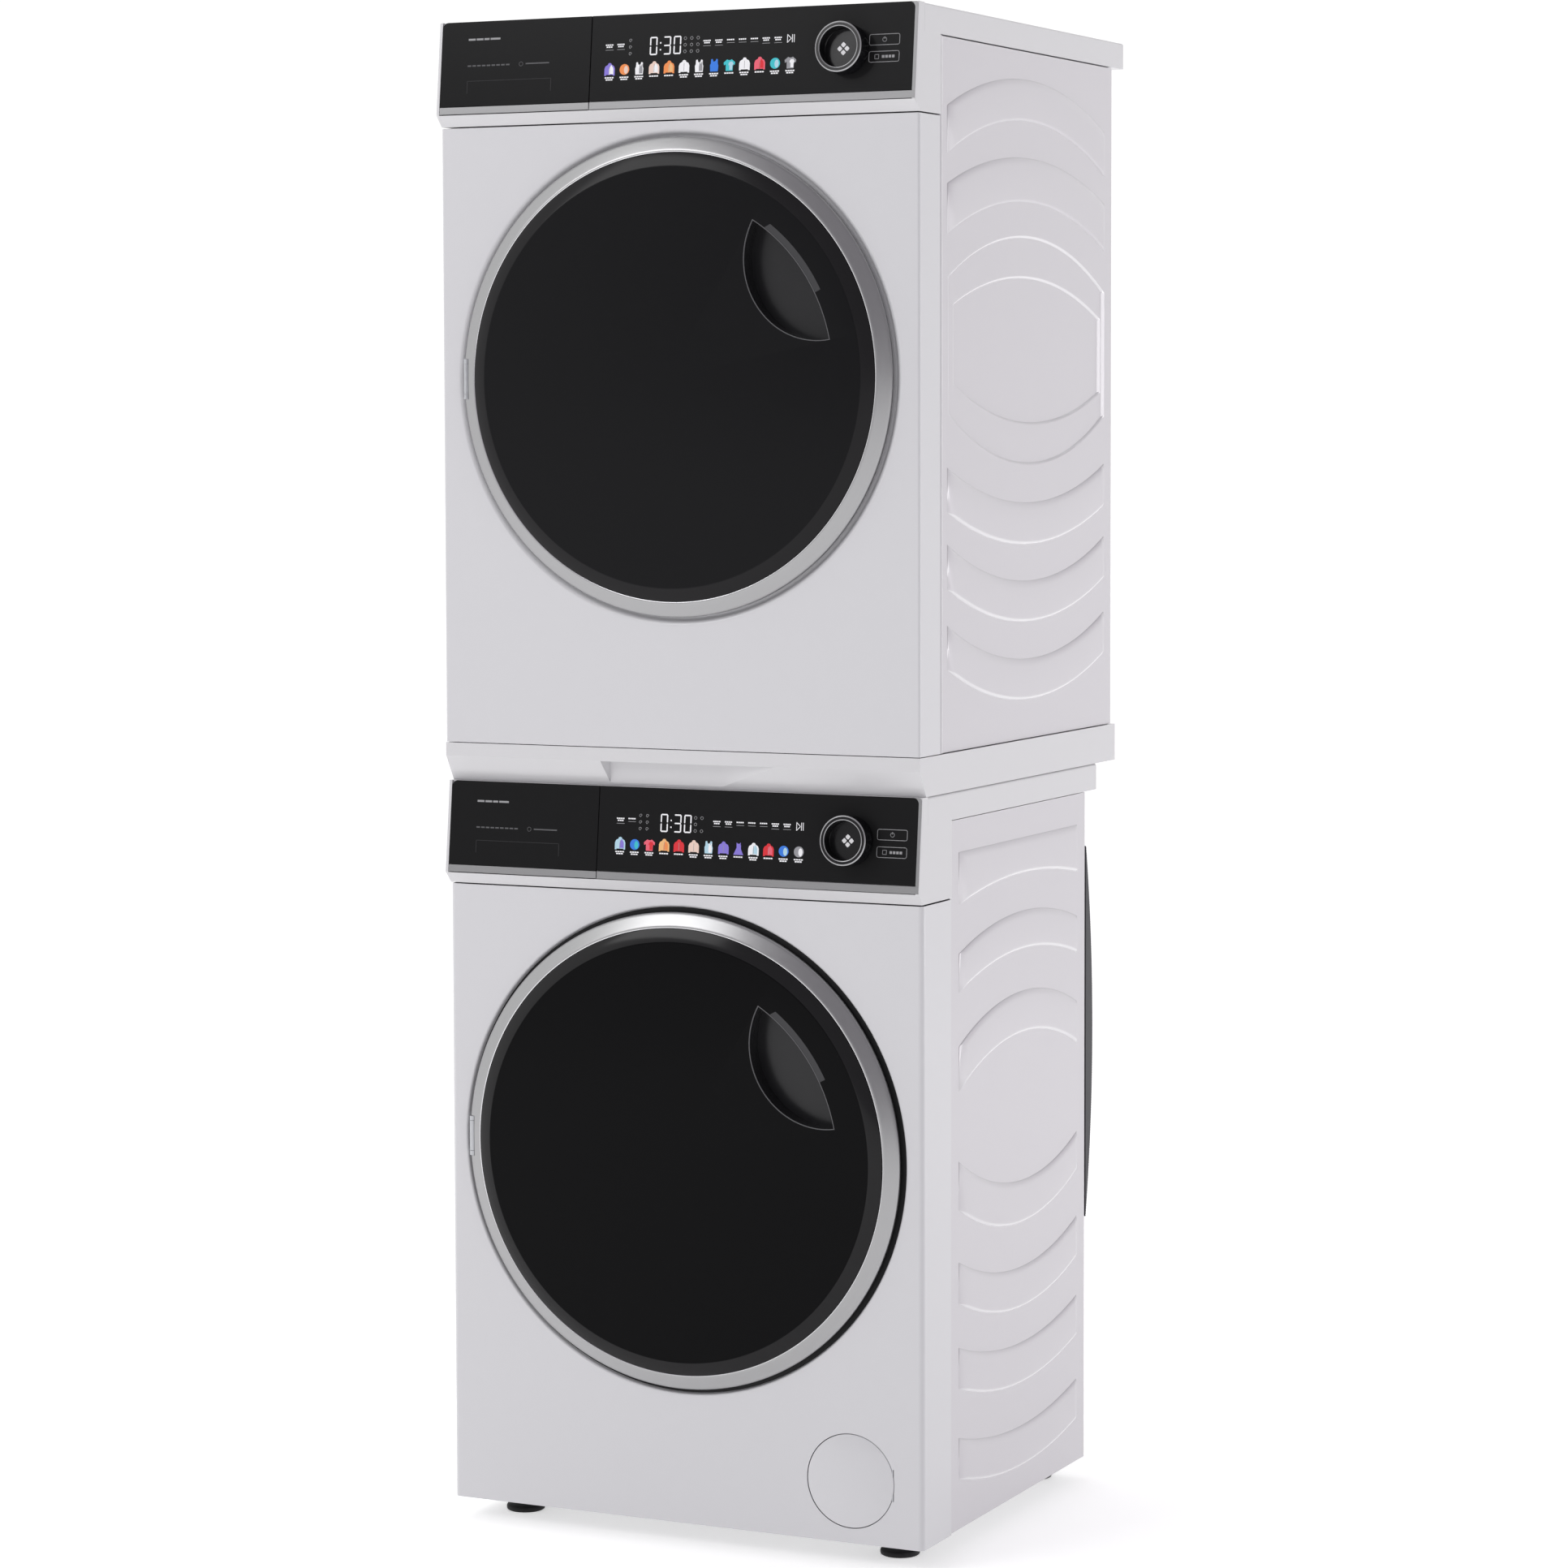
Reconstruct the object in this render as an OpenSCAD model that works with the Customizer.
// Front-loading washing machine with a heat-pump tumble dryer stacked on it.
// Origin: on the floor, under the middle of the stack's box. +Z up, fronts face -Y.

/* [Cabinets] */
// Width of both cabinets
cabinet_w = 595; // [590:1:600]
// Height of the washing machine, without how far its feet are screwed out
washer_h = 848; // [846:1:850]
// How far the washer's feet are screwed out
feet_out = 12; // [6:1:16]
// Height of the dryer, without the pads it stands on
dryer_h = 860; // [858:1:862]
// Depth of the washer's cabinet, front panel to back panel
washer_d = 488; // [486:1:492]
// Depth of the dryer's cabinet, front panel to back panel
dryer_d = 579; // [577:1:583]
// How far both top plates reach past the back panels
top_overhang = 37; // [30:1:40]
// How far the washer's front stands behind the dryer's
washer_setback = 8; // [6:1:10]
// Thickness of the stacking pads
pad_t = 4; // [3:0.5:5]

/* [Doors] */
// Radius of the washer door's metal ring
washer_door_r = 271; // [268:1:272]
// Radius of the dryer door's metal ring
dryer_door_r = 267; // [265:1:270]
// Height of the washer door's centre above the floor
washer_door_z = 438; // [436:1:440]
// Height of the dryer door's centre above the dryer's base
dryer_door_z = 456; // [454:1:457]
// Radius of the loading opening
mouth_r = 190; // [188:1:192]

/* [Control panels] */
// Height of the white console
console_h = 118; // [116:1:120]
// Height of the black glass on it
glass_h = 96; // [94:1:98]
// Lean of the glass from upright, in degrees
lean = 5.94; // [5:0.1:7]
// Outer radius of the programme knob
knob_r = 28; // [26:1:29]
// Distance of the knob's centre from the middle
knob_x = 213; // [210:1:215]
// Place of the split between drawer front and control glass
split_x = -101; // [-103:1:-99]

/* [Drums] */
// Outer radius of the washing drum
washer_drum_r = 240; // [236:1:242]
// Outer radius of the drying drum
dryer_drum_r = 262; // [258:1:263]

/* [Hidden] */
$fn = 96;
half_w = cabinet_w / 2;
sheet = 1.5;
side_in = half_w - sheet;
glass_t = 3;
glass_y = -1;
trim_h = 8;
knob_len = 21;
knob_gap = 0.5;
knob_drop = 50;
lift = 12;
foot_x = 240;
foot_y = 66;
base_h = 40;
joint_gap = 1.5;
top_t = 31;
washer_seam = 80;
dryer_seam = 58;
dish_step = 6;
dish_depth = 26;
knob_face_r = knob_r - 1.3;
// The lowest edge of the dryer knob's face is the stack's foremost point
knob_front = -glass_y + (knob_len + knob_gap) * cos(lean) + (knob_drop + knob_face_r) * sin(lean);
stack_back = dryer_d + top_overhang - 2;
front_y = knob_front - (stack_back + knob_front) / 2;
dryer_z = washer_h + pad_t + feet_out;
flap_x = 209;
flap_z = 82;
flap_r = 52.7;
flap_axis_x = flap_x + 51;
hinge_in = 3.5;
hinge_y = -4.5;
hinge_r = 3.7;
pin_r = 1.8;
motor_x = -150;
motor_z = 112;
pulley_r = 12;
drum_t = 1.2;
belt_gap = 0.5;
belt_t = 2.4;
roller_r = 35;
roller_x = 170;
roller_z = dryer_door_z - sqrt(pow(dryer_drum_r + roller_r + 0.4, 2) - roller_x * roller_x);

// ---- Placing -------------------------------------------------------------

// Machine frames: x = 0 at the middle, y = 0 on the front panel, z = 0 at the bottom,
// which for the washer is the bottom of its feet when they are screwed in
module in_washer() translate([0, front_y + washer_setback, feet_out]) children();
module in_dryer() translate([0, front_y, dryer_z]) children();

// A 2D shape in x and z, made solid from y0 to y1
module slab(y0, y1) translate([0, y1, 0]) rotate([90, 0, 0]) linear_extrude(y1 - y0) children();

// A 2D shape in y and z, made solid from x0 to x1
module along_x(x0, x1) translate([x0, 0, 0]) rotate([90, 0, 90]) linear_extrude(x1 - x0) children();

// A profile of [radius, y] points turned about a level axis at height z
module lathe(z, x = 0) translate([x, 0, z]) rotate([-90, 0, 0]) rotate_extrude() children();

// A straight round bar along y
module bar_y(r, y0, y1, x, z) translate([x, y0, z]) rotate([-90, 0, 0]) cylinder(r = r, h = y1 - y0);

// The leaning plane of the control glass: z runs down from its top edge, y = 0 is its face
module leaning(h) translate([0, glass_y, h]) rotate([-lean, 0, 0]) children();

module box(x0, x1, y0, y1, z0, z1) translate([x0, y0, z0]) cube([x1 - x0, y1 - y0, z1 - z0]);

// ---- Cabinet parts that both machines have --------------------------------

// Plan of the front panel: a wide U with rounded front corners
module u_plan(depth, r, t) {
    translate([-half_w + t, r]) square([cabinet_w - 2 * t, depth - r]);
    translate([-half_w + r, t]) square([cabinet_w - 2 * r, r]);
    for (s = [-1, 1]) translate([s * (half_w - r), r]) circle(r = r - t);
}

// Pressed surround of a door: shallow step under the ring, then a deep dish
module dish_profile(r) {
    back = dish_depth + sheet;
    polygon([[r + 10, 0], [r + 8, 0.3], [r + 2, dish_step], [r - 24, dish_step], [r - 35, dish_depth],
        [mouth_r, dish_depth], [mouth_r, back], [r - 33.5, back], [r - 22.5, dish_step + sheet],
        [r + 3, dish_step + sheet], [r + 9, sheet], [r + 10, sheet]]);
}

module front_panel(z0, z1, door_z, r, seam, corner_r) {
    difference() {
        union() {
            difference() {
                translate([0, 0, z0]) linear_extrude(z1 - z0) difference() {
                    u_plan(seam, corner_r, 0);
                    u_plan(seam + 1, corner_r, sheet);
                }
                bar_y(r + 8, -1, 3, 0, door_z);
            }
            lathe(door_z) dish_profile(r);
        }
        // Slot for the door's hook
        box(203, 221, dish_depth - 1, dish_depth + 3, door_z - 11, door_z + 11);
    }
}

module side_panels(depth, z0, z1, seam) {
    for (s = [0, 1]) mirror([s, 0, 0]) {
        box(side_in, half_w, seam + 0.6, depth, z0, z1);
        box(side_in - 10, side_in, depth - sheet, depth, z0, z1);
    }
}

module top_plate(h, depth, corner_r) {
    front = 14.2;
    wall = 4;
    board = 18;
    difference() {
        translate([0, 0, h - top_t]) linear_extrude(top_t - 2) {
            translate([-half_w, front]) square([cabinet_w, depth - front - corner_r]);
            translate([-half_w + corner_r, front]) square([cabinet_w - 2 * corner_r, depth - front]);
            for (s = [-1, 1]) translate([s * (half_w - corner_r), depth - corner_r]) circle(r = corner_r);
        }
        box(-half_w + wall, half_w - wall, front + wall, depth - wall, h - top_t - 1, h - 2 - board);
    }
}

// Front outline of the console, [y, z]: leaning face, lip and flat back
module console_profile(h, back) {
    polygon([[2.3, h], [-8.6, h - 105.1], [-11.5, h - 105.4], [0, h - console_h],
        [back, h - console_h], [back, h]]);
}

module console(h, seam) {
    cheek_in = half_w - 3.8;
    difference() {
        along_x(-cheek_in, cheek_in) console_profile(h, 14);
        // Way through for the drawer, and the hollow behind the controls
        box(-292, -103, -15, 20, h - 110, h - 6);
        box(-90, 285, 7, 20, h - 108, h - 8);
        leaning(h) bar_y(8, -10, 30, knob_x, -knob_drop);
    }
    for (s = [0, 1]) mirror([s, 0, 0]) along_x(cheek_in, half_w)
        polygon([[-1, h], [-11.9, h - 105.1], [0, h - console_h], [seam, h - console_h],
            [seam, h - top_t - 0.2], [14, h - top_t - 0.2], [14, h]]);
}

// Outline of a glass from x0 to x1 with one rounded top corner
module glass_outline(x0, x1, rounded_x, r) {
    difference() {
        translate([x0, -glass_h - 0.4]) square([x1 - x0, glass_h + 0.4]);
        translate([rounded_x - (rounded_x > 0 ? r : 0), -r]) square([r, r + 1]);
    }
    translate([rounded_x - sign(rounded_x) * r, -r]) circle(r = r);
}

module control_glass(h) {
    leaning(h) difference() {
        slab(0, glass_t) glass_outline(split_x + 0.3, half_w - 4.1, half_w - 4.1, 7);
        bar_y(6.06, -1, glass_t + 1, knob_x, -knob_drop);
    }
}

module trim_strip(h) {
    leaning(h) box(split_x + 0.3, half_w - 4.1, 0.2, glass_t, -glass_h - trim_h - 1, -glass_h - 1);
}

// Programme knob: a hollow dish on a stem
module knob(h) {
    floor_y = 15;
    rim = 5.3;
    chamfer = knob_r - knob_face_r;
    front = -knob_gap - knob_len;
    leaning(h) lathe(-knob_drop, knob_x) polygon([[0, front + floor_y], [knob_r - rim, front + floor_y],
        [knob_r - rim, front], [knob_face_r, front], [knob_r, front + chamfer], [knob_r, -knob_gap],
        [6, -knob_gap],
        [6, glass_t + 6], [0, glass_t + 6]]);
}

// Left part of the control panel, which pulls out with the drawer or tank behind it
module drawer_front(h) {
    leaning(h) {
        slab(0, glass_t) glass_outline(-half_w + 4.1, split_x - 0.7, -half_w + 4.1, 7);
        box(-half_w + 4.1, split_x - 0.7, 0.2, glass_t, -glass_h - trim_h - 1, -glass_h - 1);
    }
    along_x(-291, -104)
        polygon([[1, h - 9], [-9.2, h - 103.5], [6, h - 103.5], [6, h - 9]]);
}

// ---- Doors ----------------------------------------------------------------

// Hinge axis of a door of radius r
function hinge_x(r) = -(r - hinge_in);

module door_ring(r, z) {
    color("silver") difference() {
        lathe(z) polygon([[r - 19, -0.5], [r, -0.5], [r - 0.5, -5], [r - 4.5, -8.5],
            [r - 15, -12], [r - 19, -12]]);
        box(-r - 2, hinge_x(r) + hinge_r + 0.3, -15, 1, z - 23, z + 23);
    }
}

// Outline of the handle scoop, seen from the front, about the door's centre
module scoop(reach, grow) {
    intersection() {
        circle(r = reach);
        translate([183, 129]) circle(r = 90 + grow);
    }
}

module door_cover(r, z) {
    rim = r - 19;
    face = -17;
    color("#1b1b1d") difference() {
        union() {
            lathe(z) polygon([[0, face], [rim - 15, face], [rim, -12.5], [rim, -9], [rim - 4, -9],
                [rim - 4, -11.5], [rim - 16, face + 4], [0, face + 4]]);
            translate([0, 0, z]) slab(-13.5, 8) scoop(214, 2);
        }
        translate([0, 0, z]) slab(face - 1, 6) scoop(202, 0);
        translate([0, 0, z]) slab(-10, 6) scoop(212, 0);
    }
}

module door_frame(r, z) {
    color("#c9cacd") difference() {
        lathe(z) polygon([[168, -9], [r - 20, -9], [r - 20, -0.5], [226, -0.5], [224, 20], [168, 20]]);
        translate([0, 0, z]) slab(-10, 8.3) scoop(214.3, 2.3);
        box(206, 213, 18, 21, z - 9, z + 9);
    }
}

module hinge_arm(r, z) {
    x = hinge_x(r);
    color("silver") difference() {
        union() {
            translate([x, hinge_y, z - 17.3]) cylinder(r = hinge_r, h = 34.6);
            box(x, x + 3.8, hinge_y, 2.5, z - 17, z + 17);
            box(x, -229, -0.5, 2.5, z - 17, z + 17);
        }
        translate([x, hinge_y, z - 18]) cylinder(r = pin_r + 0.05, h = 36);
    }
}

// Two ears, the base they stand on and the pin between them
module hinge_bracket(r, z) {
    x = hinge_x(r);
    for (s = [0, 1]) translate([0, 0, z]) mirror([0, 0, s]) {
        translate([x, hinge_y, 17.7]) cylinder(r = hinge_r, h = 5);
        box(x - hinge_r, x + hinge_r, hinge_y, dish_step - 1, 17.7, 22.7);
    }
    box(x - 4, x + 17, dish_step - 1.5, dish_step, z - 24, z + 24);
    translate([x, hinge_y, z - 22]) cylinder(r = pin_r, h = 44);
}

module door_hook(z) {
    color("dimgray") translate([0, 0, z - 8.7]) linear_extrude(17.4)
        polygon([[206.2, 18], [212.8, 18], [212.8, 36], [218, 39], [218, 41], [213, 44], [206.2, 44]]);
}

module door_lock(z) {
    difference() {
        box(199, 231, dish_depth + sheet, 57, z - 28, z + 28);
        box(203, 221, 20, 49, z - 11, z + 11);
    }
}

// ---- Parts on both machines -----------------------------------------------

module levelling_foot(x, y) translate([x, y, -feet_out]) {
    cylinder(r = 22.5, h = 8);
    cylinder(r = 5, h = feet_out + lift + 26);
}

module feet() {
    color("#202022") {
        in_washer() for (x = [-foot_x, foot_x], y = [foot_y, washer_d - 28]) levelling_foot(x, y);
        in_dryer() for (s = [0, 1], y = [22, washer_d - 50]) mirror([s, 0, 0])
            box(250, 294, y, y + 30, -pad_t - 2, 0);
    }
}

module hinge_brackets() {
    color("silver") {
        in_washer() hinge_bracket(washer_door_r, washer_door_z);
        in_dryer() hinge_bracket(dryer_door_r, dryer_door_z);
    }
}

module door_locks() {
    color("#303034") {
        in_washer() door_lock(washer_door_z);
        in_dryer() door_lock(dryer_door_z);
    }
}

module trim_strips() {
    color("#b4b4b6") {
        in_washer() trim_strip(washer_h);
        in_dryer() trim_strip(dryer_h);
    }
}

// ---- Washing machine --------------------------------------------------------

module w_base() in_washer() {
    wall_h = 18;
    color("#c8c8cc") difference() {
        union() {
            difference() {
                box(-side_in, side_in, 6, washer_d - sheet, lift, lift + wall_h);
                box(-side_in + 2, side_in - 2, 8, washer_d - sheet - 2, lift + 2, lift + 30);
            }
            for (x = [-foot_x, foot_x], y = [foot_y, washer_d - 28]) translate([x, y, lift]) cylinder(r = 14, h = 20);
        }
        for (x = [-foot_x, foot_x], y = [foot_y, washer_d - 28]) translate([x, y, 0]) cylinder(r = 5.02, h = 60);
    }
}

module w_side_panels() in_washer() {
    color("#d6d6da") side_panels(washer_d, lift, washer_h - top_t - 0.2, washer_seam);
}

module w_back_panel() in_washer() {
    edge = side_in - 10.5;
    color("#c4c4c8") difference() {
        union() {
            box(-edge, edge, washer_d - sheet, washer_d, lift, washer_h - top_t - 0.2);
            bar_y(9, washer_d - 1, washer_d + 6, -220, washer_h - 70);
        }
        box(-230, 230, washer_d - 5, washer_d + 5, 320, 735);
        bar_y(14, washer_d - 5, washer_d + 10, 195, washer_h - 70);
        bar_y(4, washer_d - 5, washer_d + 10, -220, washer_h - 70);
    }
}

// Domed cover over the motor opening: an arc drawn across the width of the back
module w_back_cover() in_washer() {
    arc_r = 1184;
    z_low = 304;
    z_high = 751;
    bulge = 22;
    wall = 2.5;
    centre_z = (z_low + z_high) / 2;
    centre_y = washer_d + bulge - arc_r;
    color("#55545a") difference() {
        intersection() {
            box(-288, 288, washer_d, washer_d + 30, z_low, z_high);
            translate([-300, centre_y, centre_z]) rotate([0, 90, 0]) cylinder(r = arc_r, h = 600, $fn = 360);
        }
        intersection() {
            box(-288 + wall, 288 - wall, washer_d - 1, washer_d + 30, z_low + wall + 8, z_high - wall - 8);
            translate([-300, centre_y, centre_z]) rotate([0, 90, 0])
                cylinder(r = arc_r - wall, h = 600, $fn = 360);
        }
    }
}

module w_front_panel() in_washer() {
    color("#d8d8dc") difference() {
        union() {
            front_panel(lift, washer_h - console_h - joint_gap, washer_door_z, washer_door_r, washer_seam, 6);
            // Ears that hold the pin of the filter flap
            for (s = [-1, 1]) translate([0, 0, flap_z + s * 20])
                box(flap_axis_x - 3, flap_axis_x + 4, 0.5, 4, -1.8, 1.8);
        }
        bar_y(flap_r + 0.8, -1, 6, flap_x, flap_z);
        box(flap_axis_x - 4, flap_axis_x + 2.8, -1, 6, flap_z - 18.1, flap_z + 18.1);
        translate([flap_axis_x, 1.2, flap_z - 25]) cylinder(r = 0.95, h = 50);
    }
}

module w_top_plate() in_washer() {
    color("#dcdce0") top_plate(washer_h, washer_d + top_overhang, 10);
}

module w_console() in_washer() color("#dcdce0") console(washer_h, washer_seam);

module w_control_glass() in_washer() color("#1d1d1f") control_glass(washer_h);

module w_knob() in_washer() color("#1d1d1f") knob(washer_h);

module w_drawer_front() in_washer() color("#1d1d1f") drawer_front(washer_h);

module w_drawer_tray() in_washer() {
    z0 = washer_h - 103;
    z1 = washer_h - 45;
    color("#e4e4e8") difference() {
        box(-285, -112, 6, 262, z0, z1);
        box(-282.5, -226, 8.5, 259.5, z0 + 2.5, z1 + 1);
        box(-223.5, -171, 8.5, 259.5, z0 + 2.5, z1 + 1);
        box(-168.5, -114.5, 8.5, 259.5, z0 + 2.5, z1 + 1);
    }
}

module w_drawer_housing() in_washer() {
    color("#c0c0c4") difference() {
        box(-290.5, -106.5, 14, 272, washer_h - 110, washer_h - 34);
        box(-288, -109, 13, 269.5, washer_h - 107.5, washer_h - 36.5);
    }
}

module w_inlet_valve() in_washer() {
    z = washer_h - 70;
    color("#e8e8ea") difference() {
        union() {
            box(175, 215, 440, washer_d - sheet, z - 20, z + 20);
            bar_y(11, washer_d - 5, washer_d + 3, 195, z);
            bar_y(13.2, washer_d + 2, washer_d + 20, 195, z);
        }
        bar_y(8, washer_d - 20, washer_d + 21, 195, z);
    }
    // Electric coil of the valve
    color("#3a6ea5") bar_y(12, 412, 440, 195, z);
}

module w_door_ring() in_washer() door_ring(washer_door_r, washer_door_z);

module w_door_cover() in_washer() door_cover(washer_door_r, washer_door_z);

module w_door_frame() in_washer() door_frame(washer_door_r, washer_door_z);

// Deep glass bowl that pushes the laundry back into the drum
module w_door_glass() in_washer() {
    color([0.75, 0.8, 0.85, 0.5]) lathe(washer_door_z)
        polygon([[186, 20], [186, 24], [166, 24], [164, 30], [142, 92], [118, 106], [80, 111], [0, 113],
            [0, 108], [80, 106], [116, 101], [137, 89], [158, 30], [160, 20]]);
}

module w_hinge_arm() in_washer() hinge_arm(washer_door_r, washer_door_z);

module w_door_hook() in_washer() door_hook(washer_door_z);

// Rubber bellows from the loading opening to the tub
module w_gasket() in_washer() {
    color("#8e8e92") lathe(washer_door_z)
        polygon([[192, 27.5], [168, 27.5], [168, 30], [186, 33], [186, 44], [172, 50], [172, 56],
            [188, 60], [188, 76], [199, 80], [207, 80], [207, 77], [201, 76], [191, 72], [191, 57],
            [175, 53], [189, 47], [192, 33]]);
}

module w_tub() in_washer() {
    r = washer_drum_r + 16;
    color("#9a9ca0") lathe(washer_door_z)
        polygon([[198, 80], [r, 80], [r, 400], [32, 400], [32, 418], [15.05, 418], [15.05, 390],
            [32, 390], [32, 394], [r - 6, 394], [r - 6, 86], [198, 86]]);
}

module w_drum() in_washer() {
    r = washer_drum_r;
    color("#c6c8cc") {
        lathe(washer_door_z)
            polygon([[0, 382], [r, 382], [r, 92], [205, 92], [205, 93.5], [r - drum_t, 93.5],
                [r - drum_t, 380.5], [0, 380.5]]);
        // Three lifters that carry the laundry up
        for (a = [90, 210, 330]) translate([0, 0, washer_door_z]) rotate([0, a, 0]) slab(110, 372)
            polygon([[-24, -r + 3], [24, -r + 3], [10, -r + 43], [-10, -r + 43]]);
    }
}

// Three-armed spider behind the drum, with its shaft
module w_drum_shaft() in_washer() {
    color("#8a8c90") {
        bar_y(28, 382, 388, 0, washer_door_z);
        bar_y(15, 386, 456, 0, washer_door_z);
        for (a = [30, 150, 270]) translate([0, 0, washer_door_z]) rotate([0, a, 0])
            box(0, 225, 382, 388, -12, 12);
    }
}

module w_motor_rotor() in_washer() {
    color("#6c6e74") lathe(washer_door_z)
        polygon([[15, 430], [26, 430], [26, 444], [122, 444], [122, 410], [128, 410], [128, 448], [15, 448]]);
}

// Stator: a hub ring on the tub with a row of poles
module w_motor_stator() in_washer() {
    color("#b06a3a") {
        lathe(washer_door_z) polygon([[60, 400], [88, 400], [88, 438], [60, 438]]);
        for (a = [0 : 15 : 345]) translate([0, 0, washer_door_z]) rotate([0, a, 0])
            box(87, 116, 406, 436, -7, 7);
    }
}

// Concrete weights above and below the tub's mouth
module w_counterweight() in_washer() {
    color("#7d7b76") translate([0, 0, washer_door_z]) slab(52, 79.7) intersection() {
        difference() {
            circle(r = 253);
            circle(r = 210);
        }
        union() {
            polygon([[0, 0], [300, 260], [300, 400], [-300, 400], [-300, 260]]);
            polygon([[0, 0], [240, -300], [-240, -300]]);
        }
    }
}

// Two hanging springs and two dampers that carry the tub
module w_suspension() in_washer() {
    tub_r = washer_drum_r + 16;
    spring_x = 200;
    damper_x = 120;
    spring_low = washer_door_z + sqrt(tub_r * tub_r - pow(spring_x - 12, 2)) + 1;
    damper_top = washer_door_z - sqrt(tub_r * tub_r - pow(damper_x - 6, 2)) - 1;
    color("#7c8088") for (s = [0, 1]) mirror([s, 0, 0]) {
        translate([spring_x, 330, spring_low]) cylinder(r = 12, h = 806 - spring_low);
        box(190, side_in, 320, 340, 806, 812);
        translate([damper_x, 240, lift + 2]) cylinder(r = 15, h = 116);
        translate([damper_x, 240, lift + 110]) cylinder(r = 6, h = damper_top - lift - 110);
    }
}

module w_drain_pump() in_washer() {
    color("#d0d0d4") {
        difference() {
            union() {
                bar_y(35, 32, 120, flap_x, flap_z);
                bar_y(52, 28, 32, flap_x, flap_z);
                box(188, 224, 40, 118, lift + 2, flap_z);
                translate([flap_x, 90, flap_z + 20]) cylinder(r = 14, h = 158);
            }
            bar_y(27.4, 20, 112, flap_x, flap_z);
            bar_y(33, 20, 32.5, flap_x, flap_z);
        }
    }
    color("#4a4c52") bar_y(27, 120, 156, flap_x, flap_z);
}

// Lint trap of the pump: cap with a grip bar, and its basket
module w_pump_filter() in_washer() {
    color("#3c3e44") {
        bar_y(32, 14, 31, flap_x, flap_z);
        bar_y(27.1, 30, 100, flap_x, flap_z);
        box(flap_x - 26, flap_x + 26, 6, 15, flap_z - 4, flap_z + 4);
    }
}

module w_filter_flap() in_washer() {
    color("#d8d8dc") {
        bar_y(flap_r, 0, 2.4, flap_x, flap_z);
        translate([flap_axis_x, 1.2, flap_z - 21]) cylinder(r = 0.9, h = 42);
    }
}

// ---- Dryer ------------------------------------------------------------------

// Plinth with a slanted front and a recess in the middle of it
module d_base() in_dryer() {
    depth = dryer_d + 7;
    color("#dcdce0") difference() {
        along_x(-half_w, half_w) polygon([[0, base_h], [0, 26], [16, 0], [depth, 0], [depth, base_h]]);
        box(-half_w + 6, half_w - 6, 24, depth - 6, 6, base_h + 1);
        box(-98, 92, -1, 16, -1, 26);
    }
}

module d_side_panels() in_dryer() {
    color("#d2cdd2") side_panels(dryer_d, base_h + joint_gap, dryer_h - top_t - 0.2, dryer_seam);
}

module d_back_panel() in_dryer() {
    edge = side_in - 10.5;
    color("#c4c4c8") difference() {
        union() {
            box(-edge, edge, dryer_d - sheet, dryer_d, base_h, dryer_h - top_t - 0.2);
            // Bearing boss of the drum, and the gland of the mains lead
            bar_y(26, 546, dryer_d, 0, dryer_door_z);
            bar_y(9, dryer_d - 1, dryer_d + 6, -220, 90);
        }
        bar_y(12.05, 540, dryer_d - 6, 0, dryer_door_z);
        bar_y(4, dryer_d - 5, dryer_d + 10, -220, 90);
        // Air slots of the heat pump
        for (i = [0 : 6]) box(60, 230, dryer_d - 3, dryer_d + 1, 70 + 14 * i, 76 + 14 * i);
    }
}

module d_front_panel() in_dryer() {
    color("#d8d8dc") {
        front_panel(base_h + joint_gap, dryer_h - console_h - joint_gap, dryer_door_z, dryer_door_r,
            dryer_seam, 3);
    }
}

module d_top_plate() in_dryer() {
    color("#dcdce0") top_plate(dryer_h, dryer_d + top_overhang - 2, 6);
}

module d_console() in_dryer() color("#dcdce0") console(dryer_h, dryer_seam);

module d_control_glass() in_dryer() color("#1d1d1f") control_glass(dryer_h);

module d_knob() in_dryer() color("#1d1d1f") knob(dryer_h);

module d_tank_front() in_dryer() color("#1d1d1f") drawer_front(dryer_h);

// Condensate tank: closed, with a pouring hole in its top
module d_water_tank() in_dryer() {
    z0 = dryer_h - 103;
    z1 = dryer_h - 40;
    color("#dfe3e8") difference() {
        box(-285, -112, 6, 470, z0, z1);
        box(-282.5, -114.5, 8.5, 467.5, z0 + 2.5, z1 - 2.5);
        translate([-150, 60, z1 - 5]) cylinder(r = 14, h = 10);
    }
}

module d_door_ring() in_dryer() door_ring(dryer_door_r, dryer_door_z);

module d_door_cover() in_dryer() door_cover(dryer_door_r, dryer_door_z);

module d_door_frame() in_dryer() door_frame(dryer_door_r, dryer_door_z);

// Shallow inner pane of the dryer's door
module d_door_glass() in_dryer() {
    color([0.75, 0.8, 0.85, 0.5]) lathe(dryer_door_z)
        polygon([[186, 20], [186, 24], [166, 24], [160, 46], [140, 53], [0, 56], [0, 52], [138, 49],
            [155, 43], [160, 20]]);
}

module d_hinge_arm() in_dryer() hinge_arm(dryer_door_r, dryer_door_z);

module d_door_hook() in_dryer() door_hook(dryer_door_z);

// Seal ring between the loading opening and the bulkhead
module d_door_seal() in_dryer() {
    color("#5a5a5e") lathe(dryer_door_z)
        polygon([[191, 27.5], [197, 27.5], [197, 60], [191, 60]]);
}

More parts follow.
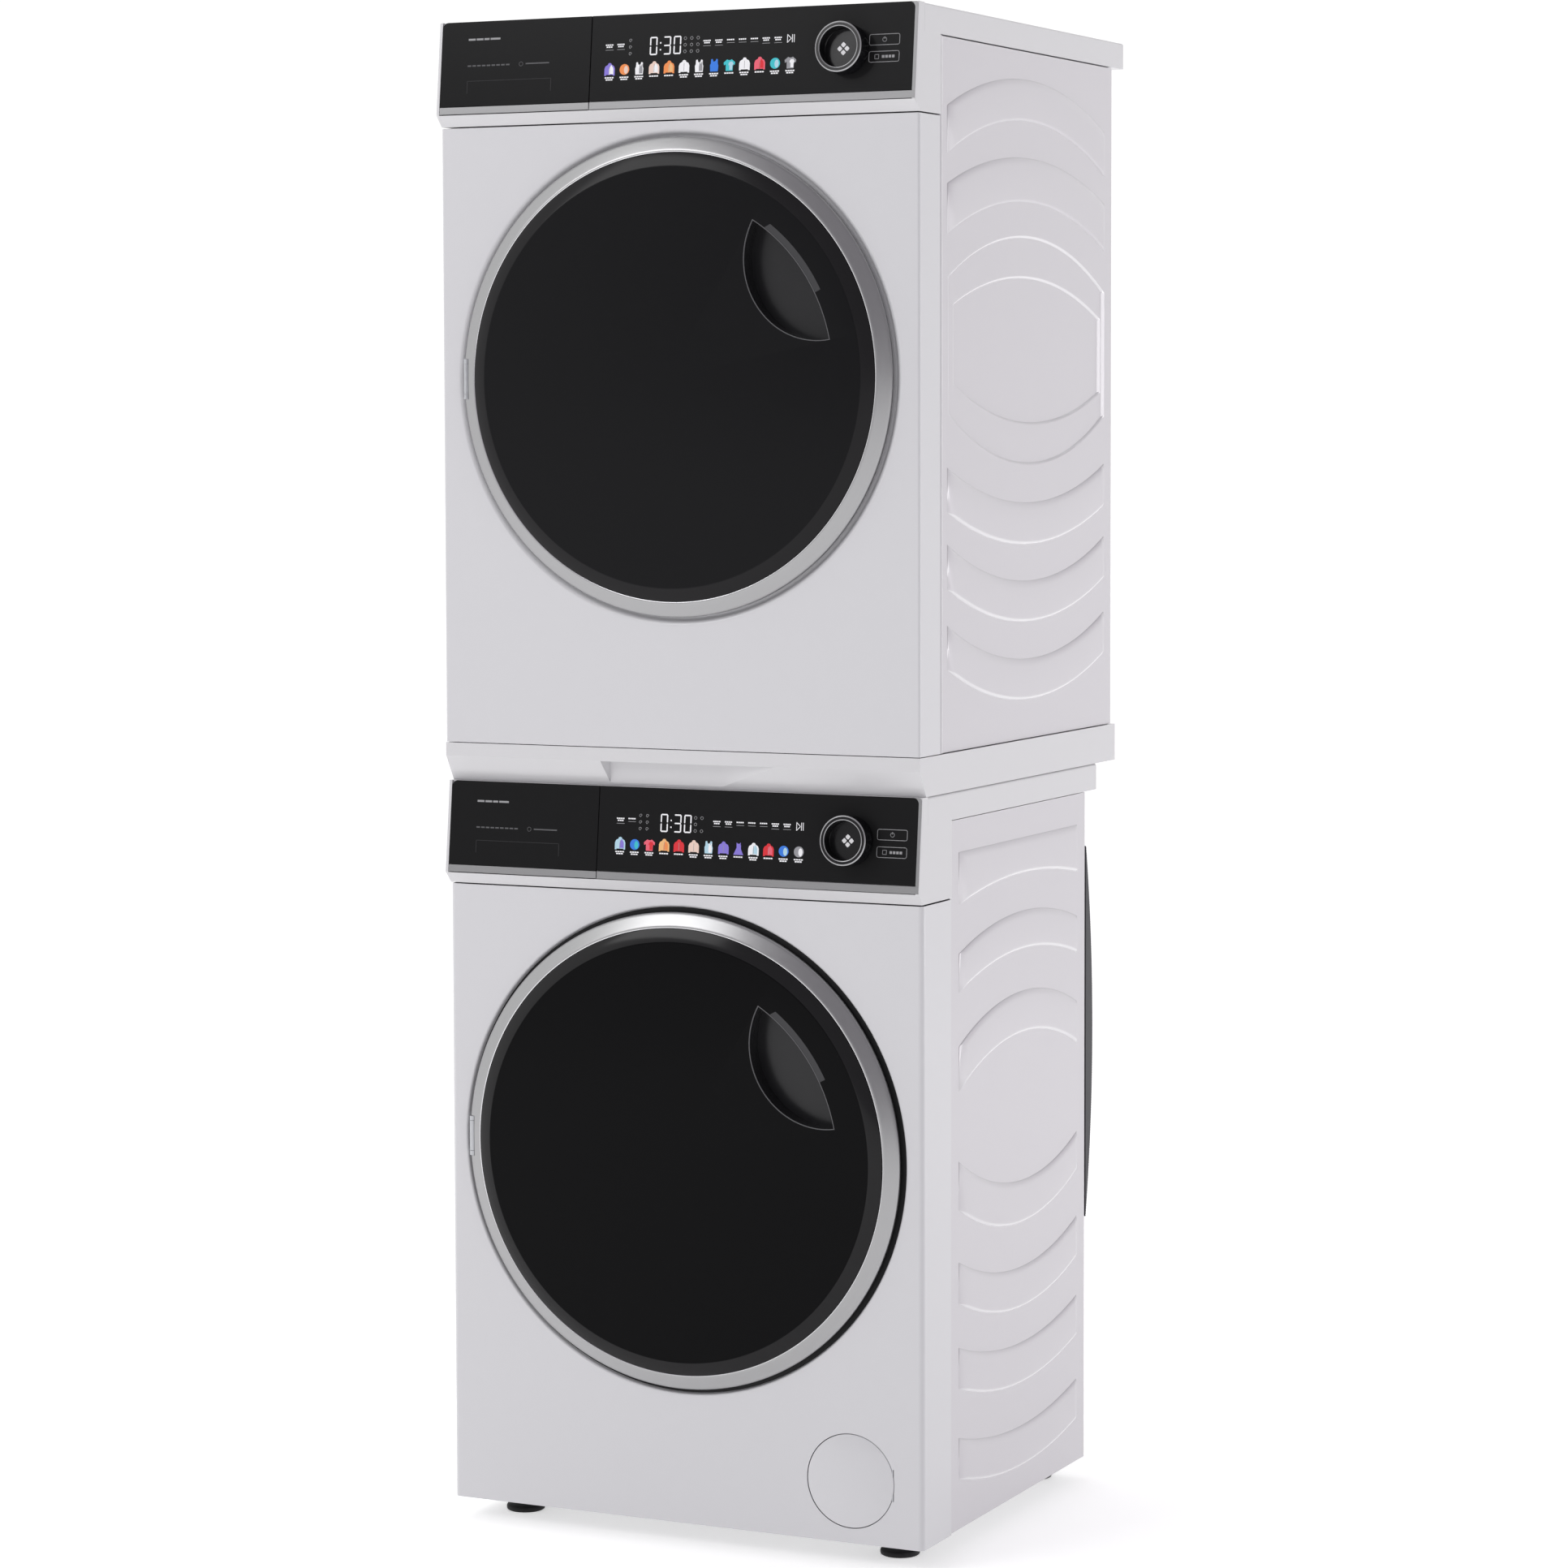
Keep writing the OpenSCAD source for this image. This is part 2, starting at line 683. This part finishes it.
module d_drum() in_dryer() {
    r = dryer_drum_r;
    color("#c6c8cc") {
        lathe(dryer_door_z)
            polygon([[0, 540], [12, 540], [12, 570], [0, 570]]);
        lathe(dryer_door_z)
            polygon([[0, 540], [40, 540], [60, 522], [r, 522], [r, 84], [206, 84], [206, 85.5],
                [r - drum_t, 85.5], [r - drum_t, 520.5], [57, 520.5], [38, 537.5], [0, 537.5]]);
        for (a = [90, 210, 330]) translate([0, 0, dryer_door_z]) rotate([0, a, 0]) slab(120, 500)
            polygon([[-22, -r + 3], [22, -r + 3], [9, -r + 48], [-9, -r + 48]]);
    }
}

// Bulkhead that carries the rollers and the lint filter's pocket
module d_front_bulkhead() in_dryer() {
    color("#b8bac0") {
        difference() {
            box(-290, 290, 60, 80, base_h + 6, 730);
            bar_y(mouth_r, 50, 90, 0, dryer_door_z);
            box(-92, 92, 63, 77, 176, 300);
        }
        for (x = [-roller_x, roller_x]) bar_y(6, 79, 116, x, roller_z);
    }
}

// Slide-out lint filter with a grip on its top edge
module d_lint_filter() in_dryer() {
    color("#6f7680") difference() {
        union() {
            box(-91, 91, 64, 76, 177, 262);
            box(-30, 30, 66, 74, 261, 274);
        }
        box(-86, 86, 67, 73, 182, 257);
        for (i = [0 : 4]) box(-84 + 34 * i, -52 + 34 * i, 60, 80, 186, 252);
    }
}

belt_dx = motor_x;
belt_dz = motor_z - dryer_door_z;
belt_turn = atan2(belt_dz, belt_dx);
belt_wrap = acos((dryer_drum_r - pulley_r) / norm([belt_dx, belt_dz]));

// Points of a loop that runs round the drum and the pulley at a given distance off both
function belt_loop(off) = concat(
    [for (i = [0 : 80]) let (a = belt_turn + belt_wrap + (360 - 2 * belt_wrap) * i / 80)
        (dryer_drum_r + off) * [cos(a), sin(a)]],
    [for (i = [0 : 12]) let (a = belt_turn - belt_wrap + 2 * belt_wrap * i / 12)
        [belt_dx, belt_dz] + (pulley_r + off) * [cos(a), sin(a)]]);

// Flat belt about the drum and the motor's pulley
module d_belt() in_dryer() {
    color("#1a1a1a") translate([0, 0, dryer_door_z]) slab(200, 210) difference() {
        polygon(belt_loop(belt_gap + belt_t));
        polygon(belt_loop(belt_gap));
    }
}

module d_motor() in_dryer() {
    color("#7a7d84") difference() {
        union() {
            bar_y(46, 226, 400, motor_x, motor_z);
            for (y = [240, 384]) box(motor_x - 40, motor_x + 40, y, y + 6, 6, motor_z);
        }
        bar_y(8.05, 220, 410, motor_x, motor_z);
    }
}

// Motor shaft with the belt pulley in front and the fan wheel behind
module d_motor_rotor() in_dryer() {
    color("#54565c") {
        bar_y(8, 196, 470, motor_x, motor_z);
        bar_y(pulley_r, 198, 212, motor_x, motor_z);
        bar_y(60, 420, 424, motor_x, motor_z);
        for (a = [0 : 30 : 330]) translate([motor_x, 0, motor_z]) rotate([0, a, 0])
            box(34, 60, 423, 460, -1.5, 1.5);
    }
}

// Compressor, the two heat exchangers and the pipes between them
module d_heat_pump() in_dryer() {
    color("#2a2c30") translate([170, 430, 6]) {
        cylinder(r = 55, h = 130);
        cylinder(r = 62, h = 8);
    }
    color("#b5bcc4") {
        for (y = [120, 250]) for (i = [0 : 9]) box(10, 240, y + 9 * i, y + 9 * i + 5, 12, 160);
        for (y = [118, 248]) for (z = [30, 80, 130]) bar_y(5, y, y + 88, 30, z);
        box(6, 14, 118, 340, 6, 12);
        box(236, 244, 118, 340, 6, 12);
    }
    color("#b8743c") {
        bar_y(5, 330, 390, 200, 60);
        bar_y(5, 204, 251, 200, 60);
    }
}

module roller(x) {
    color("#3a3a3e") lathe(roller_z, x) polygon([[6.06, 88], [roller_r, 88], [roller_r, 110], [6.06, 110]]);
}

module d_roller_left() in_dryer() roller(-roller_x);

module d_roller_right() in_dryer() roller(roller_x);

// ---- Output -------------------------------------------------------------------

feet();
hinge_brackets();
door_locks();
trim_strips();
w_base();
w_side_panels();
w_back_panel();
w_back_cover();
w_front_panel();
w_top_plate();
w_console();
w_control_glass();
w_knob();
w_drawer_front();
w_drawer_tray();
w_drawer_housing();
w_inlet_valve();
w_door_ring();
w_door_cover();
w_door_frame();
w_door_glass();
w_hinge_arm();
w_door_hook();
w_gasket();
w_tub();
w_drum();
w_drum_shaft();
w_motor_rotor();
w_motor_stator();
w_counterweight();
w_suspension();
w_drain_pump();
w_pump_filter();
w_filter_flap();
d_base();
d_side_panels();
d_back_panel();
d_front_panel();
d_top_plate();
d_console();
d_control_glass();
d_knob();
d_tank_front();
d_water_tank();
d_door_ring();
d_door_cover();
d_door_frame();
d_door_glass();
d_hinge_arm();
d_door_hook();
d_door_seal();
d_drum();
d_front_bulkhead();
d_lint_filter();
d_belt();
d_motor();
d_motor_rotor();
d_heat_pump();
d_roller_left();
d_roller_right();
